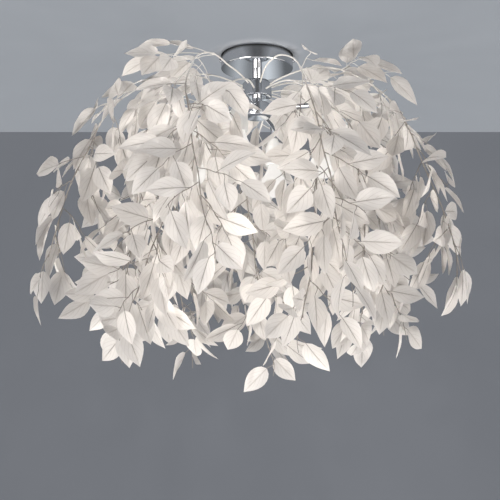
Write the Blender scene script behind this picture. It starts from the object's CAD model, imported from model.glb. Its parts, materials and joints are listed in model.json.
import json
import math

import bpy
import numpy as np
from bpy.props import FloatProperty, FloatVectorProperty, IntProperty, PointerProperty
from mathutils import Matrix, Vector


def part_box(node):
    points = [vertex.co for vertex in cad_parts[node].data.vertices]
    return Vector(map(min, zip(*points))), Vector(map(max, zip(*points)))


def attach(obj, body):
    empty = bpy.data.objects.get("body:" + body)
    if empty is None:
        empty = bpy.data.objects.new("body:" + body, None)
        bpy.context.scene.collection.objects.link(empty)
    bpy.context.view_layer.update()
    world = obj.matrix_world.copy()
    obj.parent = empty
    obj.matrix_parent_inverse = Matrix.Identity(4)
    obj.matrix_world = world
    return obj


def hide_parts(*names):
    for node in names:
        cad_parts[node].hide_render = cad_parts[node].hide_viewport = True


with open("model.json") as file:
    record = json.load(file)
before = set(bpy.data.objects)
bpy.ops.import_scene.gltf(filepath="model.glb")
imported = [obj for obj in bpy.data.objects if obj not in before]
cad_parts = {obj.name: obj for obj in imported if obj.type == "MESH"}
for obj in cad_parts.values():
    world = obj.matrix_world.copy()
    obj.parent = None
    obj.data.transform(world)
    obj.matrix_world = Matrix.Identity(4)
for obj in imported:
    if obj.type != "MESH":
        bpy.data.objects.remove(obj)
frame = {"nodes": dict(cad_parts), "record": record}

bl_info = {
    "name": "Leafy Ceiling Light",
    "version": (1, 0, 0),
    "blender": (4, 5, 0),
    "location": "3D View > Sidebar > Ceiling Light",
    "description": "Dresses a ceiling light: chromed metalwork, lamps, bent twigs and cloth leaves",
    "category": "Object",
}

NODES = frame["nodes"]
SLOTS = {part["node"]: part["material_slot"] for part in frame["record"]["subparts"]}
LAMPS = range(1, 1 + sum(name.startswith("bulb_glass_") for name in NODES))
TWIGS = range(1, 1 + sum(name.startswith("twig_stems_") for name in NODES))
DOWN = np.array([0.0, 0.0, -1.0])
MERGE = 2e-6  # corners of the loose CAD triangles that lie this close are one
TURN = 96  # steps round a turned piece
SMOOTH_ANGLE = 50.0  # degrees from which an edge of a piece stays sharp
CAD_ANGLE = 32.0  # degrees from which an edge of a CAD solid is one
BROKEN_EDGE = 0.0004  # rounding of the edges of the collar, the hub and the lampholders
RIB_AT = 0.45  # share of a blade's length at which its CAD solid has the midrib's corner
RING_REACH = 0.0036  # corners of a main stem that lie this close are one ring
SPRAY_REACH = 0.00104  # furthest that a side spray's corners lie from its axis
END_REACH = 1e-4  # corners within this of a spray's end are the end's own
STEM_STEP = 0.003  # distance between two rings of a main stem
SPRAY_RINGS, STALK_RINGS = 15, 5  # rings of a side spray, and of a stalk up to its blade
WIRE_AT = (0.1, 0.24, 0.42, 0.62)  # shares of a blade's length at which its wire has rings
STEM_SIDES, SPRAY_SIDES, STALK_SIDES = 8, 6, 5
SWAYS = (0.11, 2.1), (0.17, 3.7)  # each wave of a main stem: its length, and its phase by twig
SWAY_FROM, SWAY_GROWS = 0.02, 0.05  # where along a stem its sway starts and over what distance
KNOT_REACH = 0.0035  # distance along a stem at which a knot has nearly gone
SPRAY_TAPER, STALK_TAPER = 0.62, 0.45  # radius at the end, by that at the root
LAST_SEAT = 0.97  # share of a spray past which no stalk leaves it
SET_BACK = 0.05  # share of a spray by which a stalk starts before its solid does
STALK_PULLS = 0.45, 0.35  # how far a stalk keeps to its spray's way, and to its blade's, by span
TWIG_STEP = 131.0  # by this much the leaves' numbers differ from one twig to the next
STEPS = {  # of spread, for what differs from leaf to leaf
    "sinking": 0.6823, "crook": 0.4142, "fold": 0.3819,
    "wave": 0.5698, "twist": 0.2571, "shade": 0.7549,
}
ROW_EASE = 0.35  # how much closer the rows of a blade lie at its ends
EDGE_WAVES, EDGE_SHIFT = 1.6, 1.3  # ripples along an edge, and how far each edge's are moved on
THREADS = (46.0, 92.0)  # waves of the weave across and along a blade
MIRRORED = 0.85  # share of the room's bare colour that metal shows
CANOPY_SHADE = 0.064  # distance from the axis within which the ceiling shows its shade
FLAG_HOLE, FLAG_REACH, FLAG_FOOT = 0.0606, 3.4, -2.3  # radii and lowest height of the dark card
CARD_REACH, CARD_FOOT = 0.3, -0.5  # half width and lowest height of the pale card
CARD_GAP, LIFT = 0.02, 0.0006  # from the pale card to the backdrop, and from canopy to ceiling
CAMERA_PLACE = (-0.0117, -2.104, -0.733)
CAMERA_TILT = 100.8  # degrees from looking straight down
SENSOR = 36.0  # width of the camera's picture plane in mm
AIM = (0.0, 0.0, -0.25)  # where the studio lights point
STUDIO_LIGHTS = {  # the diameter and place of each
    "key": (1.6, (-1.5, -1.9, -0.5)),
    "fill": (1.4, (1.7, -1.4, -1.4)),
}


def number_property(name, description, default, **settings):
    return FloatProperty(name=name, description=description, default=default, min=0.0, **settings)


def length_property(name, description, default):
    return number_property(
        name, description, default, unit="LENGTH", subtype="DISTANCE", precision=5)


def share_property(name, description, default):
    return number_property(name, description, default, max=1.0, subtype="FACTOR")


def colour_property(name, description, default):
    return FloatVectorProperty(
        name=name, description=description, default=default, min=0.0, max=1.0, subtype="COLOR")


class MetalSettings(bpy.types.PropertyGroup):
    """Sizes and colours of the metalwork."""

    chrome: colour_property("Chrome", "Colour of the plated metal", (0.80, 0.81, 0.83))
    polish: share_property("Polish", "Roughness of the plated metal", 0.07)
    zinc: colour_property("Zinc", "Colour of the bracket and nuts", (0.62, 0.64, 0.66))
    brass: colour_property("Brass", "Colour of the nipples and terminal screws", (0.76, 0.60, 0.31))
    wall: length_property("Canopy wall", "Wall of the canopy", 0.0012)
    edge: length_property("Canopy edge", "Rounding of the canopy's lower edge", 0.0022)
    stem_wall: length_property("Stem wall", "Wall of the stem", 0.0036)
    lip: length_property("Stem lip", "Rounding of the stem's ends", 0.0006)


class LampSettings(bpy.types.PropertyGroup):
    """Sizes, colours and light of the lamps."""

    thread_pitch: length_property("Thread pitch", "Pitch of the screw cap", 0.0028)
    thread_depth: length_property("Thread depth", "Depth of the screw cap's thread", 0.0007)
    glass_wall: length_property("Glass wall", "Wall of a bulb's glass", 0.001)
    glow: colour_property("Glow", "Colour of a lit bulb", (1.0, 0.965, 0.925))
    glass_light: number_property("Glass light", "Strength of a bulb's own shine", 0.78)
    inner_watts: number_property("Inner light", "Power of the light in a bulb", 37.0, unit="POWER")
    inner_radius: length_property("Inner radius", "Size of the light inside a bulb", 0.018)
    near_cut: share_property("Near cut", "How much the light is held back close to it", 0.08)
    overlap: length_property("Overlap", "Reach of a bulb's neck past its screw cap", 0.0015)


class TwigSettings(bpy.types.PropertyGroup):
    """Sizes and colours of the twigs."""

    coating: colour_property("Coating", "Colour of a twig's coating", (0.27, 0.245, 0.22))
    pale: colour_property("Pale coating", "Colour of the coating near the ceiling", (0.62, 0.60, 0.57))
    root_radius: length_property("Root radius", "Main stem at the collar", 0.0014)
    end_radius: length_property("End radius", "Main stem at its end", 0.0008)
    spray_radius: length_property("Spray radius", "Side spray at its root", 0.0008)
    stalk_radius: length_property("Stalk radius", "Leaf stalk at the spray", 0.0006)
    knot: length_property("Knot", "Swelling of the main stem at a side spray", 0.0006)
    arch: length_property("Arch", "Rise of a side spray over its straight line", 0.0045)
    kink: length_property("Kink", "To and fro of a side spray at its leaves", 0.0011)
    sway: length_property("Sway", "To and fro of a main stem", 0.0016)
    pale_depth: length_property("Pale depth", "Depth to which the coating is pale", 0.07)
    dark_depth: length_property("Dark depth", "Depth from which the coating is dark", 0.15)
    tape: number_property("Tape", "Turns of the paper tape in a metre", 210.0)


class LeafSettings(bpy.types.PropertyGroup):
    """Sizes and colours of the leaves."""

    cloth: colour_property("Cloth", "Colour of the leaf cloth", (0.92, 0.898, 0.875))
    rib: colour_property("Rib", "Colour of a leaf's ribs", (0.56, 0.53, 0.50))
    let_through: share_property("Let through", "Share of light that passes the cloth", 0.65)
    thickness: length_property("Thickness", "Cloth and glued rib at the midrib", 0.0007)
    fold: share_property("Fold", "Rise of the edges over the midrib, by the solid's", 0.6)
    droop: share_property("Droop", "Sinking of the tip, by length", 0.08)
    ripple: share_property("Ripple", "Waves along the edge, by half width", 0.05)
    long: share_property("Long", "Length of a blade, by the solid's", 0.93)
    wide: number_property("Wide", "Width of a blade, by the solid's", 1.08)
    ribs: number_property("Ribs", "Side ribs from the neck of a blade to its tip", 4.4)
    slant: number_property("Slant", "Side ribs that one passes from the midrib to the edge", 2.6)
    rows: IntProperty(name="Rows", description="Steps along a blade", default=10, min=4)
    columns: IntProperty(name="Columns", description="Steps across a blade", default=4, min=2)


class StageSettings(bpy.types.PropertyGroup):
    """The room round the light, its lamps and the camera."""

    ceiling: colour_property("Ceiling", "Colour of the ceiling", (0.32, 0.34, 0.37))
    wall: colour_property("Wall", "Colour of the backdrop", (0.165, 0.175, 0.195))
    floor: colour_property("Floor", "Colour of the floor", (0.52, 0.53, 0.55))
    plain: share_property("Plainness", "How little the seen backdrop shows of its light", 0.94)
    wall_back: length_property("Wall distance", "From the light's axis to the backdrop", 0.47)
    floor_drop: length_property("Floor distance", "From the ceiling to the floor", 2.4)
    reach: length_property("Reach", "From the axis to the backdrop's sides", 4.0)
    key_watts: number_property("Key light", "Power of the big front light", 47.0, unit="POWER")
    fill_watts: number_property("Fill light", "Power of the low side light", 35.0, unit="POWER")
    air: number_property("Air", "Strength of the light from all round", 1.1)
    air_colour: colour_property("Air colour", "Colour of the studio's light", (1.0, 0.965, 0.935))
    lens: number_property("Lens", "Focal length in mm", 95.04)


# Meshes


def unit(v):
    """Vectors of length one, along the last axis."""
    return v / np.maximum(np.linalg.norm(v, axis=-1, keepdims=True), 1e-12)


def dot(a, b):
    return (a * b).sum(axis=-1, keepdims=True)


def across(v, d):
    """The part of v that stands square on the unit vector d."""
    return v - dot(v, d) * d


def spread(n, what):
    """Fractions from 0 to 1 that look unordered and are the same each run: the part after the point
    of n times a step."""
    return np.modf(np.asarray(n, float) * STEPS[what])[0]


def add_object(name, data):
    obj = bpy.data.objects.new(name, data)
    bpy.context.scene.collection.objects.link(obj)
    return obj


def piece(name, points, faces, material, smooth_angle=SMOOTH_ANGLE):
    """A mesh object at the origin, smooth but for edges sharper than smooth_angle."""
    mesh = bpy.data.meshes.new(name)
    mesh.from_pydata(np.reshape(points, (-1, 3)).tolist(), [], faces)
    mesh.polygons.foreach_set("use_smooth", np.ones(len(mesh.polygons), bool))
    mesh.set_sharp_from_angle(angle=math.radians(smooth_angle))
    mesh.materials.append(material)
    return add_object(name, mesh)


def extent(node):
    """The two corners of a node's box and half its width."""
    low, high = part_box(node)
    return low, high, (high.x - low.x) / 2


def fit_piece(obj, body, *nodes):
    """The piece rides on the body and stands for the CAD nodes, with the finish of the first."""
    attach(obj, body)
    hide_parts(*nodes)


def wrap_faces(rows, columns, start=0):
    """Quads of a grid of points whose columns close into a ring."""
    i, j = np.meshgrid(np.arange(rows - 1), np.arange(columns), indexing="ij")
    k = (j + 1) % columns
    quads = np.stack([i * columns + j, i * columns + k, (i + 1) * columns + k, (i + 1) * columns + j])
    return (quads.reshape(4, -1).T + start).tolist()


def rounded(profile, radius, steps):
    """A profile whose inner corners are curves. Each is a quadratic curve from radius before the
    corner to radius after it, or to the middle of a shorter side."""
    profile = np.asarray(profile, float)
    before, corner, after = profile[:-2], profile[1:-1], profile[2:]
    t = np.linspace(0.0, 1.0, steps)[None, :, None]

    def towards(end):
        side = end - corner
        size = np.linalg.norm(side, axis=1, keepdims=True)
        return corner + side * np.minimum(radius / size, 0.5)

    a, b = towards(before)[:, None], towards(after)[:, None]
    c = corner[:, None]
    curves = (1 - t) ** 2 * a + 2 * t * (1 - t) * c + t ** 2 * b
    return np.concatenate([profile[:1], curves.reshape(-1, 2), profile[-1:]])


def turned(profile, centre):
    """A turned surface: profile point (r, z) at angle a lies at centre + (r cos a, r sin a, z)."""
    a = np.linspace(0.0, math.tau, TURN, endpoint=False)[None, :]
    r, z = profile[:, :1], profile[:, 1:]
    return np.stack(
        np.broadcast_arrays(centre[0] + r * np.cos(a), centre[1] + r * np.sin(a), z), axis=-1
    )


def capped_faces(rows, columns):
    """Faces of such a grid with a pole at each end. The poles are the two points after the grid."""
    grid = np.arange(rows * columns).reshape(rows, columns)
    low = np.full(columns, grid.size)
    first = np.stack([low, np.roll(grid[0], -1), grid[0]], axis=1)
    last = np.stack([low + 1, grid[-1], np.roll(grid[-1], -1)], axis=1)
    return wrap_faces(rows, columns) + first.tolist() + last.tolist()


def turned_piece(name, profile, centre, material):
    """A closed turned piece. The profile runs with the solid on its left, and its two ends meet or
    lie on the axis."""
    profile = np.asarray(profile, float)
    if profile[0, 0] < MERGE:
        ring = profile[1:-1]
        poles = [[*centre, profile[0, 1]], [*centre, profile[-1, 1]]]
        points = np.concatenate([turned(ring, centre).reshape(-1, 3), poles])
        return piece(name, points, capped_faces(len(ring), TURN), material)
    ring = profile[:-1]
    faces = wrap_faces(len(ring), TURN)
    grid = np.arange(len(ring) * TURN).reshape(-1, TURN)
    faces += np.stack(
        [grid[-1], np.roll(grid[-1], -1), np.roll(grid[0], -1), grid[0]], axis=1).tolist()
    return piece(name, turned(ring, centre), faces, material)


def tubes(paths, radii, sides):
    """Round tubes with flat ends. Every ring is a circle of its radius, square to the path. Its
    first axis is the normal of the plane through the path's start, middle and end, so that the
    tube doesn't twist."""
    count, rings = paths.shape[:2]
    way = unit(np.gradient(paths, axis=1))
    chord = paths[:, -1] - paths[:, 0]
    bow = paths[:, rings // 2] - paths[:, 0]
    normal = np.cross(chord, bow)
    spare = np.cross(chord, np.where(np.abs(unit(chord)[:, 2:]) < 0.9, DOWN, [1.0, 0.0, 0.0]))
    flat = np.linalg.norm(normal, axis=1, keepdims=True) < 1e-3 * dot(chord, chord)
    normal = unit(np.where(flat, spare, normal))
    first = unit(across(np.broadcast_to(normal[:, None], way.shape), way))
    second = np.cross(way, first)
    a = np.linspace(0.0, math.tau, sides, endpoint=False)[None, None, :, None]
    circle = np.cos(a) * first[:, :, None] + np.sin(a) * second[:, :, None]
    points = paths[:, :, None] + radii[:, :, None, None] * circle
    faces = []
    ends = np.arange(sides)
    for k in range(count):
        start = k * rings * sides
        faces += wrap_faces(rings, sides, start)
        faces += [(start + ends[::-1]).tolist(), (start + (rings - 1) * sides + ends).tolist()]
    return points.reshape(-1, 3), faces


def tube_uv(paths, sides):
    """For each point of such tubes, its share of the way round and its distance along in metres."""
    step = np.linalg.norm(np.diff(paths, axis=1), axis=2)
    at = np.concatenate([np.zeros((len(paths), 1)), np.cumsum(step, axis=1)], axis=1)
    turn = np.arange(sides) / sides
    grid = np.broadcast_arrays(turn[None, None], at[:, :, None])
    return np.stack(grid, axis=-1).reshape(-1, 2)


def along(path, count):
    """A path measured out again into count points at even distances."""
    step = np.linalg.norm(np.diff(path, axis=0), axis=1)
    at = np.concatenate([[0.0], np.cumsum(step)])
    even = np.linspace(0.0, at[-1], count)
    return np.stack([np.interp(even, at, path[:, k]) for k in range(3)], axis=1), even


def joined(*parts):
    """Several (points, faces) as one."""
    points, faces, start = [], [], 0
    for p, f in parts:
        points.append(p)
        faces += [[k + start for k in face] for face in f]
        start += len(p)
    return np.concatenate(points), faces


# Reading the frame


def cad_mesh(name):
    """Corners and triangles of a CAD node, its loose triangles merged at their corners."""
    mesh = NODES[name].data
    mesh.calc_loop_triangles()
    loose = np.empty(len(mesh.vertices) * 3, np.float32)
    mesh.vertices.foreach_get("co", loose)
    triangles = np.empty(len(mesh.loop_triangles) * 3, np.int32)
    mesh.loop_triangles.foreach_get("vertices", triangles)
    cells = np.round(loose.reshape(-1, 3) / MERGE)
    cells, which = np.unique(cells, axis=0, return_inverse=True)
    triangles = which.reshape(-1)[triangles].reshape(-1, 3)
    whole = (triangles != np.roll(triangles, 1, axis=1)).all(axis=1)
    return cells * MERGE, triangles[whole]


def grouped(points, lowest):
    """The points in groups. All are numbered, and each takes the lowest number among its neighbours,
    as lowest(numbers) gives it, until none changes."""
    label, changed = np.arange(len(points)), True
    while changed:
        lower = lowest(label)
        changed = (lower != label).any()
        label = lower
    return [points[label == k] for k in np.unique(label)]


def cad_solids(name):
    """The corners of each separate solid of a CAD node. Neighbours share a triangle."""
    corners, triangles = cad_mesh(name)

    def lowest(label):
        lower = label.copy()
        np.minimum.at(lower, triangles, label[triangles].min(axis=1, keepdims=True))
        return lower[lower]

    return grouped(corners, lowest)


def smooth_copy(name, material, edge=0.0):
    """A CAD node's own shape as one merged mesh, whose round faces shade smoothly and whose edges
    are broken by the width edge."""
    corners, triangles = cad_mesh(name)
    obj = piece(f"{name}_finished", corners, triangles.tolist(), material, CAD_ANGLE)
    if edge:
        bevel = obj.modifiers.new("edge", "BEVEL")
        bevel.width, bevel.segments, bevel.limit_method = edge, 2, "ANGLE"
        bevel.angle_limit = math.radians(CAD_ANGLE)
        bevelled = obj.evaluated_get(bpy.context.evaluated_depsgraph_get())
        mesh = bpy.data.meshes.new_from_object(bevelled)
        obj.modifiers.clear()
        obj.data = mesh
        mesh.set_sharp_from_angle(angle=math.radians(SMOOTH_ANGLE))
    fit_piece(obj, "root", name)


def dress(finishes, but=()):
    """Smooth copies of all nodes that have one of the finishes, but for those made otherwise."""
    for name in NODES:
        if SLOTS[name] in finishes and name not in but:
            edge = BROKEN_EDGE if name in {"hub_body", "hub_cover", "twig_collar"} else 0.0
            smooth_copy(name, finishes[SLOTS[name]], edge)


def ring_centres(points, reach):
    """Centres of the rings of corners on a rod or a bent tube: corners nearer than reach to each
    other are one ring."""
    near = np.linalg.norm(points[:, None] - points[None], axis=2) < reach
    rings = grouped(points, lambda label: np.where(near, label[None], len(points)).min(axis=1))
    return np.array([ring.mean(axis=0) for ring in rings])


def ordered(centres, start):
    """The centres in the order in which a path from start passes them: always the nearest one left."""
    left, path, here = list(centres), [], start
    while left:
        k = int(np.argmin([np.linalg.norm(c - here) for c in left]))
        here = left.pop(k)
        path.append(here)
    return np.array(path)


def segment_share(p, a, b):
    """How far along the line from a to b the point nearest to p lies, from 0 to 1, and its distance
    from p."""
    line = b - a
    t = np.clip(((p - a) * line).sum(axis=-1) / (line * line).sum(axis=-1), 0.0, 1.0)
    return t, np.linalg.norm(a + t[..., None] * line - p, axis=-1)


def read_leaves(name):
    """Place, axes and size of each leaf of a node, from the eleven corners of its solid. Of the
    longest line's ends, the root is the one that has three corners close by, the neck. The one of
    these three that is nearest to the other two lies under the blade, which gives the face axis u.
    The two corners nearest to each other past the neck are the midrib's, and the upper one lies on
    the length axis d. The width axis w is u x d."""
    p = np.array(cad_solids(name))
    n, row = len(p), np.arange(len(p))
    gap = np.linalg.norm(p[:, :, None] - p[:, None], axis=3)
    ends = np.stack(np.unravel_index(gap.reshape(n, -1).argmax(axis=1), gap.shape[1:]), axis=1)
    crowd = np.sort(gap, axis=2)[row[:, None], ends, 3]
    root = ends[row, crowd.argmin(axis=1)]
    order = gap[row, root].argsort(axis=1)
    trio, rest = order[:, 1:4], order[:, 4:]

    def gaps(which):
        return gap[row[:, None, None], which[:, :, None], which[:, None]]

    under = p[row, trio[row, gaps(trio).sum(axis=2).argmin(axis=1)]]
    neck = (p[row[:, None], trio].sum(axis=1) - under) / 2
    u = unit(neck - under)
    rest_gap = gaps(rest) + np.eye(rest.shape[1])
    pair = np.unravel_index(rest_gap.reshape(n, -1).argmin(axis=1), rest_gap.shape[1:])
    rib = p[row[:, None], np.stack([rest[row, k] for k in pair], axis=1)]
    rib = rib[row, dot(rib, u[:, None])[..., 0].argmax(axis=1)]
    d, w = unit(rib - neck), np.cross(u, unit(rib - neck))
    off = p - neck[:, None]
    return {
        "root": p[row, root], "neck": neck, "d": d, "w": w, "u": u,
        "length": np.linalg.norm(rib - neck, axis=1, keepdims=True) / RIB_AT,
        "half": np.abs(dot(off, w[:, None])).max(axis=1),
        "rise": dot(off, u[:, None]).max(axis=1),
        "number": row[:, None] + TWIG_STEP * float(name.rsplit("_", 1)[1]),
    }


def midrib(leaf, v, droop):
    """Points on the leaves' midribs at share v of their length: neck + v l d, sunk along the face
    axis by l (s v^2.2 - c v (1 - v)). The sinking s is 0.4 to 1.9 times the droop and the crook c up
    to 0.05, each leaf's own."""
    v = np.asarray(v)[None, :, None]
    number, size = leaf["number"][:, None], leaf["length"][:, None]
    s = droop * (0.4 + 1.5 * spread(number, "sinking"))
    c = 0.05 * spread(number, "crook")
    down = size * (s * v ** 2.2 - c * v * (1 - v))
    return leaf["neck"][:, None] + v * size * leaf["d"][:, None] - down * leaf["u"][:, None]


# Materials


def join(tree, kind, inputs=None, **settings):
    """A shader node of a kind. Its inputs are constants or other nodes' outputs."""
    made = tree.nodes.new(f"ShaderNode{kind}")
    for key, value in settings.items():
        setattr(made, key, value)
    for key, value in (inputs or {}).items():
        if isinstance(value, bpy.types.NodeSocket):
            tree.links.new(value, made.inputs[key])
        else:
            made.inputs[key].default_value = value
    return made


def calc(tree, operation, *values, clamp=False):
    """The output of a Math node."""
    made = join(tree, "Math", dict(enumerate(values)), operation=operation)
    made.use_clamp = clamp
    return made.outputs[0]


def rgba(colour):
    return *colour, 1.0


def blank(name):
    """An empty material, its tree, and the place of a point of the surface in metres."""
    material = bpy.data.materials.new(name)
    material.use_nodes = True
    tree = material.node_tree
    tree.nodes.clear()
    return material, tree, join(tree, "TexCoord").outputs["Object"]


def ready(material, shader):
    """The material with the shader as its surface."""
    join(material.node_tree, "OutputMaterial", {"Surface": shader.outputs[0]})
    return material


def mixed(tree, share, first, second):
    """A shader that goes from first to second with the share."""
    return join(tree, "MixShader", {0: share, 1: first.outputs[0], 2: second.outputs[0]})


def split(tree, vector):
    """The three parts of a vector."""
    return join(tree, "SeparateXYZ", {"Vector": vector}).outputs


def length(tree, vector):
    return join(tree, "VectorMath", {0: vector}, operation="LENGTH").outputs["Value"]


def noise(tree, place, scale, detail=2.0, rough=0.5):
    inputs = {"Vector": place, "Scale": scale, "Detail": detail, "Roughness": rough}
    return join(tree, "TexNoise", inputs).outputs["Fac"]


def remap(tree, value, low, high, a=0.0, b=1.0):
    """The value with a and all below it made low, b and all above it made high."""
    inputs = {"Value": value, "From Min": a, "From Max": b, "To Min": low, "To Max": high}
    return join(tree, "MapRange", inputs).outputs["Result"]


def tint(tree, factor, first, second):
    """Colour that goes from first to second with the factor. Each is a colour or a node's output."""
    a, b = [c if isinstance(c, bpy.types.NodeSocket) else rgba(c) for c in (first, second)]
    inputs = {"Factor": factor, "A": a, "B": b}
    return join(tree, "Mix", inputs, data_type="RGBA").outputs["Result"]


def solid_finish(name, colour, rough, uneven, grain, depth, metal=1.0, worn=0.9):
    """Metal or plastic. The colour, from its worn share up, and the roughness, from rough to rough
    + uneven, wander with a coarse noise, and a fine noise with the grain raises the surface by the
    depth."""
    material, tree, place = blank(name)
    coarse = noise(tree, place, grain * 0.12)
    fine = noise(tree, place, grain, 3.0, 0.6)
    bump = join(tree, "Bump", {"Height": fine, "Strength": 0.5, "Distance": depth})
    return ready(material, join(tree, "BsdfPrincipled", {
        "Base Color": tint(tree, coarse, [c * worn for c in colour], colour),
        "Metallic": metal,
        "Roughness": remap(tree, coarse, rough, rough + uneven, 0.35, 0.7),
        "Normal": bump.outputs[0],
    }))


def opal_finish(lamp):
    """Lit opal glass with a faint cloudiness."""
    material, tree, place = blank("opal_glass")
    cloud = noise(tree, place, 60.0)
    return ready(material, join(tree, "BsdfPrincipled", {
        "Base Color": tint(tree, cloud, (0.10, 0.10, 0.10), (0.13, 0.13, 0.125)),
        "Roughness": 0.12,
        "Emission Color": tint(tree, cloud, [0.96 * c for c in lamp.glow], lamp.glow),
        "Emission Strength": lamp.glass_light,
    }))


def coating_finish(twig):
    """Paper tape wound round the wire: bands along the surface's own second coordinate, which runs
    along each stem in metres. The tape is pale near the ceiling and darkens further down."""
    material, tree, place = blank("twig_coating")
    way_round, way_along, _ = split(tree, join(tree, "UVMap", uv_map="along").outputs[0])
    turn = calc(tree, "ADD", calc(tree, "MULTIPLY", way_along, twig.tape), way_round)
    band = calc(tree, "PINGPONG", turn, 0.5)
    grime = noise(tree, place, 90.0, 3.0, 0.6)
    bump = join(tree, "Bump", {"Height": band, "Strength": 0.35, "Distance": 0.0004})
    pale = remap(tree, split(tree, place)[2], 0.0, 1.0, -twig.dark_depth, -twig.pale_depth)
    dark = tint(tree, grime, [0.78 * c for c in twig.coating], twig.coating)
    return ready(material, join(tree, "BsdfPrincipled", {
        "Base Color": tint(tree, pale, dark, twig.pale),
        "Roughness": 0.72,
        "Normal": bump.outputs[0],
    }))


def rib_lines(tree, leaf, u, v):
    """Strength of the ribs' colour, with u from edge to edge and v from neck to tip. The side ribs
    lie where ribs v - slant |2 u - 1| is near a whole number, and fade towards the edge."""
    side = calc(tree, "ABSOLUTE", calc(tree, "MULTIPLY_ADD", u, 2.0, -1.0))
    rib = calc(tree, "MULTIPLY", v, leaf.ribs)
    rib = calc(tree, "SUBTRACT", rib, calc(tree, "MULTIPLY", side, leaf.slant))
    rib = calc(tree, "PINGPONG", rib, 0.5)
    rib = remap(tree, rib, 1.0, 0.0, 0.0, 0.10)
    rib = calc(tree, "MULTIPLY", rib, remap(tree, side, 0.7, 0.2, 0.0, 1.0))
    middle = remap(tree, side, 1.0, 0.0, 0.02, 0.12)
    return calc(tree, "MAXIMUM", rib, calc(tree, "MULTIPLY", middle, 0.7), clamp=True)


def cloth_finish(leaf):
    """Thin cloth that lets light through, with ribs, and a weave that is the product of two sine
    waves across and along the blade."""
    material, tree, place = blank("leaf_cloth")
    ways = split(tree, join(tree, "UVMap", uv_map="blade").outputs[0])[:2]
    line = rib_lines(tree, leaf, *ways)
    shade = join(tree, "Attribute", attribute_name="shade").outputs["Fac"]
    mottle = noise(tree, place, 55.0, 3.0, 0.55)
    tone = calc(tree, "ADD", calc(tree, "MULTIPLY", mottle, 0.5), calc(tree, "MULTIPLY", shade, 0.5))
    cloth = tint(tree, tone, [0.82 * c for c in leaf.cloth], leaf.cloth)
    colour = tint(tree, line, cloth, leaf.rib)
    weave = calc(tree, "MULTIPLY", *[
        calc(tree, "SINE", calc(tree, "MULTIPLY", way, waves * math.tau))
        for way, waves in zip(ways, THREADS)
    ])
    height = calc(tree, "ADD", calc(tree, "MULTIPLY", weave, 0.3), line)
    bump = join(tree, "Bump", {"Height": height, "Strength": 0.35, "Distance": 0.0003})
    front = join(tree, "BsdfPrincipled", {
        "Base Color": colour, "Roughness": 0.78, "Sheen Weight": 0.15, "Sheen Roughness": 0.5,
        "Normal": bump.outputs[0],
    })
    back = join(tree, "BsdfTranslucent", {"Color": colour, "Normal": bump.outputs[0]})
    return ready(material, mixed(tree, leaf.let_through, front, back))


def stage_finish(name, colour, plain, shaded=0.0):
    """A matt surface that isn't there when it is looked at from behind. To the camera, to metal and
    to the light that passes the leaves, the share plain of it is its bare colour without light or
    shade, except within the distance shaded from the light's axis. Inside nine tenths of that
    distance it has a hole."""
    material, tree, place = blank(name)
    behind = join(tree, "NewGeometry").outputs["Backfacing"]
    ray = join(tree, "LightPath").outputs
    seen = calc(tree, "MAXIMUM", ray["Is Camera Ray"], ray["Is Transmission Ray"])
    seen = calc(tree, "MAXIMUM", seen, calc(tree, "MULTIPLY", ray["Is Glossy Ray"], MIRRORED))
    lit = join(tree, "BsdfDiffuse", {"Color": rgba(colour)})
    bare = join(tree, "Emission", {"Color": rgba(colour), "Strength": 1.0})
    away = length(tree, place)
    past = remap(tree, away, 0.0, plain, shaded, 1.25 * shaded + 0.001)
    matt = mixed(tree, calc(tree, "MULTIPLY", seen, past), lit, bare)
    gone = calc(tree, "MAXIMUM", behind, calc(tree, "LESS_THAN", away, 0.9 * shaded))
    return ready(material, mixed(tree, gone, matt, join(tree, "BsdfTransparent")))


def flag_finish():
    """A dark wedge that opens from the light's axis towards the front and the back: three quarters
    of it are there up to |x| = 0.12 |y|, and one fifth from |x| = 0.62 |y| on. Beside the canopy,
    up to 67 mm from the axis, it is whole all round."""
    material, tree, place = blank("studio_flag")
    x, y = [calc(tree, "ABSOLUTE", part) for part in split(tree, place)[:2]]
    dark = join(tree, "BsdfDiffuse", {"Color": rgba((0.02, 0.02, 0.02))})
    clear = join(tree, "BsdfTransparent")
    gone = remap(tree, calc(tree, "DIVIDE", x, y), 0.25, 0.8, 0.12, 0.62)
    gone = calc(tree, "MULTIPLY", gone, remap(tree, length(tree, place), 0.0, 1.0, 0.067, 0.08))
    return ready(material, mixed(tree, gone, dark, clear))


def card_finish():
    """Bluish light that is strongest on one line right of the middle and weaker left of it: with x
    in metres, 0.16 + 0.72 (1 - |x - 0.026| / 0.04) + 0.4 (1 - |x + 0.04| / 0.035), each bracket
    not below 0 and eased."""
    material, tree, place = blank("studio_card")
    x, level = split(tree, place)[0], 0.16
    for middle, reach, strength in ((0.026, 0.04, 0.72), (-0.04, 0.035, 0.4)):
        off = calc(tree, "ABSOLUTE", calc(tree, "SUBTRACT", x, middle))
        part = calc(tree, "SMOOTH_MIN", remap(tree, off, 1.0, 0.0, 0.0, reach), 1.0, 0.4)
        level = calc(tree, "MULTIPLY_ADD", part, strength, level)
    shine = {"Color": rgba((0.88, 0.94, 1.0)), "Strength": level}
    return ready(material, join(tree, "Emission", shine))


def set_uv(obj, name, values):
    """A UV map from one pair of values for each corner point of the mesh."""
    mesh = obj.data
    corners = np.empty(len(mesh.loops), np.int32)
    mesh.loops.foreach_get("vertex_index", corners)
    layer = mesh.uv_layers.new(name=name)
    layer.data.foreach_set("uv", np.asarray(values, np.float32)[corners].ravel())


def add_light(name, kind, watts, colour, place):
    data = bpy.data.lights.new(name, kind)
    data.energy, data.color = watts, colour
    light = add_object(name, data)
    light.location = place
    return light


# Operators


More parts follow.
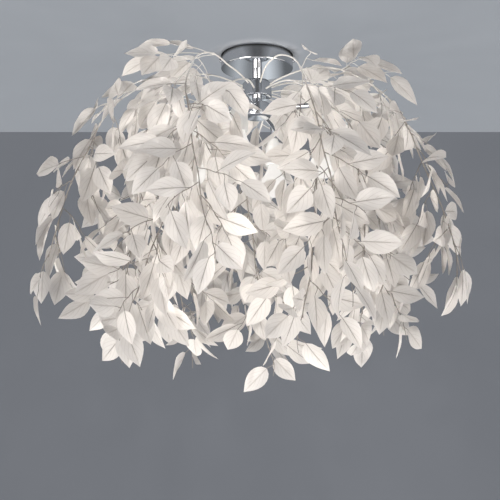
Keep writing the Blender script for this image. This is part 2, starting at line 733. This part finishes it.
class CEILINGLIGHT_OT_metalwork(bpy.types.Operator):
    """Makes the canopy and the stem, and plates the collar, hub, arms and screws"""

    bl_idname = "ceilinglight.metalwork"
    bl_label = "Metalwork"

    def execute(self, context):
        metal = context.scene.ceilinglight_metal
        chrome = solid_finish("chrome", metal.chrome, metal.polish, 0.05, 900.0, 0.00001, worn=0.97)
        self.canopy(metal, chrome)
        self.stem(metal, chrome)
        zinc = solid_finish("zinc_plate", metal.zinc, 0.30, 0.14, 240.0, 0.00006, worn=0.86)
        brass = solid_finish("brass", metal.brass, 0.22, 0.12, 300.0, 0.00004)
        dress({"chrome": chrome, "zinc_plate": zinc, "brass": brass}, ("canopy", "stem_tube"))
        return {"FINISHED"}

    def canopy(self, metal, chrome):
        """A shallow cup: out along its floor, round the edge, up the wall and back inside."""
        low, high, reach = extent("canopy")
        solid = cad_solids("canopy")[0]
        hole = np.hypot(solid[:, 0], solid[:, 1]).min()
        inner = reach - metal.wall
        outside = rounded(
            [(hole, low.z), (reach, low.z), (reach, high.z), (inner, high.z)], metal.edge, steps=9)
        inside = rounded(
            [(inner, high.z), (inner, low.z + metal.wall), (hole, low.z + metal.wall)],
            metal.edge - metal.wall, steps=5)
        profile = np.concatenate([outside, inside[1:], outside[:1]])
        obj = turned_piece("canopy_cup", profile, (0.0, 0.0), chrome)
        fit_piece(obj, "root", "canopy")

    def stem(self, metal, chrome):
        """A tube with rounded lips at both ends."""
        low, high, reach = extent("stem_tube")
        bore = reach - metal.stem_wall
        profile = rounded(
            [(bore, low.z), (reach, low.z), (reach, high.z), (bore, high.z)], metal.lip, steps=4)
        profile = np.concatenate([profile, profile[:1]])
        obj = turned_piece("stem", profile, (0.0, 0.0), chrome)
        fit_piece(obj, "root", "stem_tube")


class CEILINGLIGHT_OT_wiring(bpy.types.Operator):
    """Gives the terminal block and the leads their finish"""

    bl_idname = "ceilinglight.wiring"
    bl_label = "Wiring"

    def execute(self, context):
        block = (0.80, 0.79, 0.74), 0.42, 0.1, 400.0, 0.00003
        lead = (0.24, 0.12, 0.07), 0.45, 0.1, 500.0, 0.00002
        plastics = {"terminal_plastic": block, "lead_insulation": lead}
        dress({name: solid_finish(name, *looks, metal=0.0) for name, looks in plastics.items()})
        return {"FINISHED"}


class CEILINGLIGHT_OT_lamps(bpy.types.Operator):
    """Makes the lampholders, the bulbs' screw caps and their lit glass"""

    bl_idname = "ceilinglight.lamps"
    bl_label = "Lamps"

    def execute(self, context):
        lamp = context.scene.ceilinglight_lamp
        opal = opal_finish(lamp)
        cap_metal = solid_finish("cap_metal", (0.72, 0.73, 0.74), 0.24, 0.12, 500.0, 0.00002)
        plastic = solid_finish(
            "holder_plastic", (0.82, 0.82, 0.80), 0.38, 0.08, 700.0, 0.00002, metal=0.0)
        for k in LAMPS:
            low, high, ball = extent(f"bulb_glass_{k}")
            centre = (low.x + high.x) / 2, (low.y + high.y) / 2
            self.glass(lamp, k, ball, low.z + ball, high.z, centre, opal)
            self.cap(lamp, k, centre, cap_metal)
            smooth_copy(f"lampholder_{k}", plastic, BROKEN_EDGE)
        return {"FINISHED"}

    def glass(self, lamp, k, ball, middle, top, centre, opal):
        """A ball whose upper part draws in to a neck: the profile follows the ball up to the
        shoulder, an angle from the top, and then a quadratic curve to the neck. The inside is the
        same with a smaller ball and neck."""
        neck = extent(f"bulb_cap_{k}")[2] + lamp.overlap
        shoulder, pull = math.radians(48), 0.8

        def side(r, neck_r):
            a = np.linspace(math.pi, shoulder, 40)
            round_part = np.stack([r * np.sin(a), middle + r * np.cos(a)], axis=1)
            start = round_part[-1]
            drawn = (start[0] - neck_r) * pull
            bend = start - drawn * np.array([math.cos(shoulder), -math.tan(shoulder)])
            t = np.linspace(0.0, 1.0, 12)[1:, None]
            curve = (1 - t) ** 2 * start + 2 * t * (1 - t) * bend + t ** 2 * np.array([neck_r, top])
            return np.concatenate([round_part, curve])

        outside = side(ball, neck)
        inside = side(ball - lamp.glass_wall, neck - 2 * lamp.glass_wall)[::-1]
        outside[0, 0] = inside[-1, 0] = 0.0
        obj = turned_piece(f"bulb_{k}_glass", np.concatenate([outside, inside]), centre, opal)
        obj.visible_shadow = False
        fit_piece(obj, f"bulb_{k}", f"bulb_glass_{k}")
        self.inner_light(lamp, k, (*centre, middle))

    def inner_light(self, lamp, k, place):
        """A light inside the glass that doesn't fade with the distance, as the glow that the leaves
        throw to and fro doesn't, so that the outer leaves get their share of it."""
        light = add_light(f"bulb_{k}_light", "POINT", lamp.inner_watts, lamp.glow, place)
        light.data.shadow_soft_size = lamp.inner_radius
        light.data.use_nodes = True
        tree = light.data.node_tree
        fade = join(tree, "LightFalloff", {"Strength": 1.0, "Smooth": lamp.near_cut})
        tree.links.new(fade.outputs["Constant"], tree.nodes["Emission"].inputs["Strength"])
        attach(light, f"bulb_{k}")

    def cap(self, lamp, k, centre, cap_metal):
        """A screw cap: radius = core + depth (1 + cos(2 pi (z / pitch - a / 2 pi))) / 2 at height z
        and angle a, fading out at both ends, under a cone and a contact."""
        low, high, reach = extent(f"bulb_cap_{k}")
        step, cone, contact, tip, lip, run_out = 0.003, 0.0025, 0.0024, 0.0008, 0.0005, 0.0015
        body_top = high.z - step
        z = np.linspace(low.z, body_top - step, 60)
        a = np.linspace(0.0, math.tau, TURN, endpoint=False)
        wave = 0.5 + 0.5 * np.cos(math.tau * z[:, None] / lamp.thread_pitch - a[None])
        fade = np.clip(np.minimum(z - z[0], z[-1] - z) / run_out, 0.0, 1.0)[:, None]
        r = reach - lamp.thread_depth * (1 - wave * fade)
        height = np.broadcast_to(z[:, None], r.shape)
        threads = np.stack([centre[0] + r * np.cos(a), centre[1] + r * np.sin(a), height], axis=-1)
        top = [(reach - cone, body_top), (contact, body_top), (contact, high.z), (tip, high.z)]
        rings = np.concatenate([threads, turned(rounded(top, lip, steps=4), centre)])
        poles = [[*centre, low.z], [*centre, high.z]]
        points = np.concatenate([rings.reshape(-1, 3), poles])
        faces = capped_faces(len(rings), TURN)
        obj = piece(f"bulb_{k}_cap", points, faces, cap_metal, smooth_angle=40.0)
        fit_piece(obj, f"bulb_{k}", f"bulb_cap_{k}")


class CEILINGLIGHT_OT_twigs(bpy.types.Operator):
    """Makes the twigs' stems, their side sprays and the leaf stalks"""

    bl_idname = "ceilinglight.twigs"
    bl_label = "Twigs"

    def execute(self, context):
        twig = context.scene.ceilinglight_twig
        leaf = context.scene.ceilinglight_leaf
        coating = coating_finish(twig)
        for k in TWIGS:
            main, sprays = self.read_stems(f"twig_stems_{k}")
            leaves = read_leaves(f"twig_leaves_{k}")
            self.twig(twig, leaf, k, main, sprays, leaves, coating)
        return {"FINISHED"}

    def read_stems(self, name):
        """Centre line of the main stem and the two ends of each side spray. A solid is a spray if
        all its corners lie within a spray's radius of its long axis."""
        rings, sprays = [], []
        for corners in cad_solids(name):
            middle = corners.mean(axis=0)
            way = np.linalg.svd(corners - middle, full_matrices=False)[2][0]
            share = (corners - middle) @ way
            if np.linalg.norm(across(corners - middle, way), axis=1).max() < SPRAY_REACH:
                near_end = share < share.min() + END_REACH
                far_end = share > share.max() - END_REACH
                sprays.append([corners[near_end].mean(axis=0), corners[far_end].mean(axis=0)])
            else:
                rings.append(corners)
        centres = ring_centres(np.concatenate(rings), RING_REACH)
        start = centres[np.hypot(centres[:, 0], centres[:, 1]).argmin()]
        return ordered(centres, start), np.array(sprays)

    def sway(self, twig, k, main):
        """The main stem at even steps, pushed to and fro by two sine waves, one along its plane's
        normal and one in the plane, and the distances along it."""
        main, at = along(main, int(np.linalg.norm(np.diff(main, axis=0), axis=1).sum() / STEM_STEP))
        way = unit(np.gradient(main, axis=0))
        flat = unit(np.cross(main[-1] - main[0], main[len(main) // 2] - main[0]))
        swell = np.clip((at - SWAY_FROM) / SWAY_GROWS, 0.0, 1.0)[:, None] * twig.sway
        for (wave, phase), to in zip(SWAYS, (flat, np.cross(way, flat))):
            main = main + swell * np.sin(at[:, None] * math.tau / wave + phase * k) * to
        return main, at

    def twig(self, twig, leaf, k, main, sprays, leaves, coating):
        """One piece: the main stem, its sprays and its leaves' stalks, each a tube. A spray starts
        at the point of the main stem that is nearest to one of its ends, and the stem has a knot
        there, of the form exp(-(distance / reach)^2)."""
        main, at = self.sway(twig, k, main)
        gap = np.linalg.norm(sprays[:, :, None] - main[None, None], axis=3)
        flip = gap.min(axis=2).argmin(axis=1)
        row = np.arange(len(sprays))
        roots, tips = sprays[row, flip], sprays[row, 1 - flip]
        seat = gap[row, flip].argmin(axis=1)
        knots = np.exp(-((at[:, None] - at[seat][None]) / KNOT_REACH) ** 2).max(axis=1)
        thinner = (twig.end_radius - twig.root_radius) * at / at[-1]
        radius = twig.root_radius + thinner + twig.knot * knots

        foot = main[np.maximum(seat - 2, 0)]
        t, far = segment_share(leaves["root"][:, None], roots[None], tips[None])
        own = far.argmin(axis=1)
        t = t[np.arange(len(own)), own]
        way = leaves["neck"] - leaves["root"]
        sprays = np.stack([
            self.spray_path(twig, foot[j], roots[j], tips[j], t[own == j], way[own == j]) for j in row
        ])
        taper = np.linspace(1.0, SPRAY_TAPER, SPRAY_RINGS)[None] * twig.spray_radius
        stalks = self.stalk_paths(leaf, leaves, sprays, own, t)
        thin = np.linspace(1.0, STALK_TAPER, stalks.shape[1])[None] * twig.stalk_radius

        parts = (
            (main[None], radius[None], STEM_SIDES),
            (sprays, np.repeat(taper, len(sprays), axis=0), SPRAY_SIDES),
            (stalks, np.repeat(thin, len(stalks), axis=0), STALK_SIDES),
        )
        points, faces = joined(*[tubes(*part) for part in parts])
        obj = piece(f"twig_{k}_stems", points, faces, coating, smooth_angle=60.0)
        set_uv(obj, "along", np.concatenate([tube_uv(paths, sides) for paths, _, sides in parts]))
        obj.visible_glossy = False
        fit_piece(obj, "root", f"twig_stems_{k}")

    def spray_path(self, twig, foot, root, tip, t_leaves, stalks):
        """Line from root to tip, drawn to its foot on the main stem by (1 - t)^4, arched by
        4 t (1 - t), and pushed away from each leaf's stalk, with straight lines between leaves."""
        t = np.linspace(0.0, 1.0, SPRAY_RINGS)[:, None]
        way = unit(tip - root)
        up = unit(across(-DOWN, way))
        path = root + t * (tip - root) + (1 - t) ** 4 * (foot - root)
        path = path + 4 * t * (1 - t) * twig.arch * up
        order = np.argsort(t_leaves)
        inner = t_leaves[order] < LAST_SEAT
        knots = np.concatenate([[0.0], t_leaves[order][inner], [1.0]])
        push = -twig.kink * unit(across(stalks, way))[order][inner]
        push = np.concatenate([np.zeros((1, 3)), push, np.zeros((1, 3))])
        return path + np.stack([np.interp(t[:, 0], knots, push[:, c]) for c in range(3)], axis=1)

    def stalk_paths(self, leaf, leaves, paths, own, t):
        """Cubic curves from the sprays to the blades' necks, which leave along the spray and arrive
        along the blade, and on along the midribs."""
        at = np.clip(t - SET_BACK, 0.0, LAST_SEAT) * (SPRAY_RINGS - 1)
        low = at.astype(int)
        part = (at - low)[:, None]
        start = paths[own, low] * (1 - part) + paths[own, low + 1] * part
        way = unit(paths[own, low + 1] - paths[own, low])
        neck, d = leaves["neck"], leaves["d"]
        span = np.linalg.norm(neck - start, axis=1, keepdims=True)
        s = np.linspace(0.0, 1.0, STALK_RINGS)[None, :, None]
        leave, arrive = STALK_PULLS
        a, b = start[:, None], neck[:, None]
        c = (start + leave * span * way)[:, None]
        e = (neck - arrive * span * d)[:, None]
        bend = (1 - s) ** 3 * a + 3 * s * (1 - s) ** 2 * c + 3 * s ** 2 * (1 - s) * e + s ** 3 * b
        blade = midrib(leaves, np.array(WIRE_AT), leaf.droop)
        return np.concatenate([bend, blade], axis=1)


class CEILINGLIGHT_OT_leaves(bpy.types.Operator):
    """Makes the cloth leaves"""

    bl_idname = "ceilinglight.leaves"
    bl_label = "Leaves"

    def execute(self, context):
        leaf = context.scene.ceilinglight_leaf
        cloth = cloth_finish(leaf)
        for k in TWIGS:
            leaves = read_leaves(f"twig_leaves_{k}")
            points, uv = self.blades(leaf, leaves)
            count, size = points.shape[:2]
            template = capped_faces(leaf.rows - 1, 2 * leaf.columns)
            faces = [[c + j * size for c in face] for j in range(count) for face in template]
            obj = piece(f"twig_{k}_leaves", points, faces, cloth, smooth_angle=80.0)
            set_uv(obj, "blade", np.tile(uv, (count, 1)))
            shade = np.repeat(spread(leaves["number"], "shade")[:, 0], size)
            layer = obj.data.attributes.new("shade", "FLOAT", "POINT")
            layer.data.foreach_set("value", shade.astype(np.float32))
            obj.visible_glossy = False
            fit_piece(obj, "root", f"twig_leaves_{k}")
        return {"FINISHED"}

    def blades(self, leaf, leaves):
        """Blades as closed lenses. At share v of the length and s of the width, from -1 to 1, a
        point lies at midrib(long v) + s h w + z u. The half width h has the form
        v^0.5 (1 - v^1.9)^1.2. The height z is the sum of a fold h |s|^1.2, a ripple h s^2 sin(10 v),
        a twist v s h / 4 at most and, on the lower side, the thickness less s^2 of it."""
        even = np.linspace(0.0, 1.0, leaf.rows + 1)[1:-1]
        v = ROW_EASE * (0.5 - 0.5 * np.cos(math.pi * even)) + (1 - ROW_EASE) * even
        top = np.linspace(1.0, -1.0, leaf.columns + 1)
        s = np.concatenate([top, top[-2:0:-1]])[None, None, :, None]
        below = np.concatenate([np.zeros(len(top)), np.ones(len(top) - 2)])[None, None, :, None]
        shape = v ** 0.5 * (1 - v ** 1.9) ** 1.2
        shape = shape / shape.max()
        h = (leaf.wide * leaves["half"] * shape[None])[:, :, None, None]
        number = leaves["number"][:, None, None]
        vv = v[None, :, None, None]
        fold = (leaves["rise"] / leaves["half"])[:, None, None] * leaf.fold
        fold = fold * (0.5 + spread(number, "fold"))
        phase = math.tau * (EDGE_WAVES * vv + spread(number, "wave")) + EDGE_SHIFT * np.sign(s)
        waves = leaf.ripple * h * s ** 2 * np.sin(phase)
        twist = 0.5 * (spread(number, "twist") - 0.5) * vv * s * h
        z = fold * h * np.abs(s) ** 1.2 + waves + twist - below * leaf.thickness * (1 - s ** 2)
        rib = midrib(leaves, leaf.long * v, leaf.droop)[:, :, None]
        points = rib + s * h * leaves["w"][:, None, None] + z * leaves["u"][:, None, None]
        ends = midrib(leaves, np.array([0.0, leaf.long]), leaf.droop)
        points = np.concatenate([points.reshape(len(points), -1, 3), ends], axis=1)
        grid = np.stack(np.broadcast_arrays((s[0, 0, :, 0] + 1)[None] / 2, v[:, None]), axis=-1)
        uv = np.concatenate([grid.reshape(-1, 2), [[0.5, 0.0], [0.5, 1.0]]])
        return points, uv


class CEILINGLIGHT_OT_stage(bpy.types.Operator):
    """Makes the ceiling, backdrop and floor, the studio lights and the camera"""

    bl_idname = "ceilinglight.stage"
    bl_label = "Stage"

    def execute(self, context):
        stage = context.scene.ceilinglight_stage
        far, back, deep = stage.reach, stage.wall_back, -stage.floor_drop
        planes = (
            ("ceiling", stage.ceiling, CANOPY_SHADE, (back, LIFT), (-far, LIFT)),
            ("backdrop", stage.wall, 0.0, (back, deep), (back, LIFT)),
            ("floor", stage.floor, 0.0, (-far, deep), (back, deep)),
        )
        for name, colour, shaded, first, last in planes:
            matt = stage_finish(f"studio_{name}", colour, stage.plain, shaded)
            self.plane(f"studio_{name}", far, first, last, matt)
        self.flag(LIFT / 2)
        self.card(back - CARD_GAP)
        self.area("key", stage.key_watts, stage.air_colour)
        self.area("fill", stage.fill_watts, stage.air_colour)
        context.scene.world = self.surroundings(stage)
        context.scene.view_settings.view_transform = "Standard"
        self.camera(context, stage)
        return {"FINISHED"}

    def surroundings(self, stage):
        """Light from all round. The camera sees it in the backdrop's own colour."""
        world = bpy.data.worlds.new("studio_air")
        world.use_nodes = True
        tree = world.node_tree
        air = {"Color": rgba(stage.air_colour), "Strength": stage.air}
        lit = join(tree, "Background", air)
        seen = join(tree, "Background", {"Color": rgba(stage.wall), "Strength": 1.0})
        both = mixed(tree, join(tree, "LightPath").outputs["Is Camera Ray"], lit, seen)
        tree.links.new(both.outputs[0], tree.nodes["World Output"].inputs["Surface"])
        return world

    def plane(self, name, reach, first, last, finish):
        """A rectangle from x = -reach to reach, between two edges that are given by their y and z."""
        corners = [(-reach, *first), (reach, *first), (reach, *last), (-reach, *last)]
        plane = piece(name, corners, [[0, 1, 2, 3]], finish)
        return plane

    def flag(self, height):
        """A dark card under the ceiling that bends down at its outer edge, nearly to the floor. It
        gives the metal its dark lines, and takes a little of the light that passes the leaves."""
        profile = np.array([(FLAG_HOLE, height), (FLAG_REACH, height), (FLAG_REACH, FLAG_FOOT)])
        card = piece("studio_flag", turned(profile, (0.0, 0.0)), wrap_faces(3, TURN), flag_finish())
        card.visible_camera = card.visible_diffuse = card.visible_shadow = False

    def card(self, back):
        """A pale card before the backdrop, seen in the metal alone, which brightens the canopy."""
        card = self.plane("studio_card", CARD_REACH, (back, CARD_FOOT), (back, 0.0), card_finish())
        card.visible_camera = card.visible_diffuse = card.visible_shadow = False
        card.visible_transmission = False

    def area(self, name, watts, colour):
        """A round lamp of the studio that points at the crown."""
        size, place = STUDIO_LIGHTS[name]
        light = add_light(f"studio_{name}", "AREA", watts, colour, place)
        light.data.size, light.data.shape = size, "DISK"
        aim = Vector(AIM) - light.location
        light.rotation_euler = aim.to_track_quat("-Z", "Y").to_euler()

    def camera(self, context, stage):
        data = bpy.data.cameras.new("camera")
        data.lens, data.sensor_width = stage.lens, SENSOR
        camera = add_object("camera", data)
        camera.location = CAMERA_PLACE
        camera.rotation_euler = (math.radians(CAMERA_TILT), 0.0, 0.0)
        context.scene.camera = camera


class CEILINGLIGHT_PT_panel(bpy.types.Panel):
    """Lists the operators"""

    bl_idname = "CEILINGLIGHT_PT_panel"
    bl_label = "Ceiling Light"
    bl_space_type = "VIEW_3D"
    bl_region_type = "UI"
    bl_category = "Ceiling Light"

    def draw(self, context):
        for operator in OPERATORS:
            self.layout.operator(operator.bl_idname)
        for key in GROUPS:
            box = self.layout.box()
            group = getattr(context.scene, key)
            for name in group.bl_rna.properties.keys():
                if name not in {"rna_type", "name"}:
                    box.prop(group, name)


OPERATORS = (
    CEILINGLIGHT_OT_stage,
    CEILINGLIGHT_OT_metalwork,
    CEILINGLIGHT_OT_wiring,
    CEILINGLIGHT_OT_lamps,
    CEILINGLIGHT_OT_twigs,
    CEILINGLIGHT_OT_leaves,
)
GROUPS = {
    "ceilinglight_metal": MetalSettings,
    "ceilinglight_lamp": LampSettings,
    "ceilinglight_twig": TwigSettings,
    "ceilinglight_leaf": LeafSettings,
    "ceilinglight_stage": StageSettings,
}


def register():
    for key, group in GROUPS.items():
        bpy.utils.register_class(group)
        setattr(bpy.types.Scene, key, PointerProperty(type=group))
    for cls in (*OPERATORS, CEILINGLIGHT_PT_panel):
        bpy.utils.register_class(cls)


def unregister():
    for cls in reversed((*OPERATORS, CEILINGLIGHT_PT_panel)):
        bpy.utils.unregister_class(cls)
    for key, group in GROUPS.items():
        delattr(bpy.types.Scene, key)
        bpy.utils.unregister_class(group)


def main():
    """Runs the operators in order."""
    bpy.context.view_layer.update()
    register()
    for operator in OPERATORS:
        name = operator.bl_idname.split(".")[1]
        getattr(bpy.ops.ceilinglight, name)()
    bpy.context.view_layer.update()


if __name__ == "__main__":
    main()
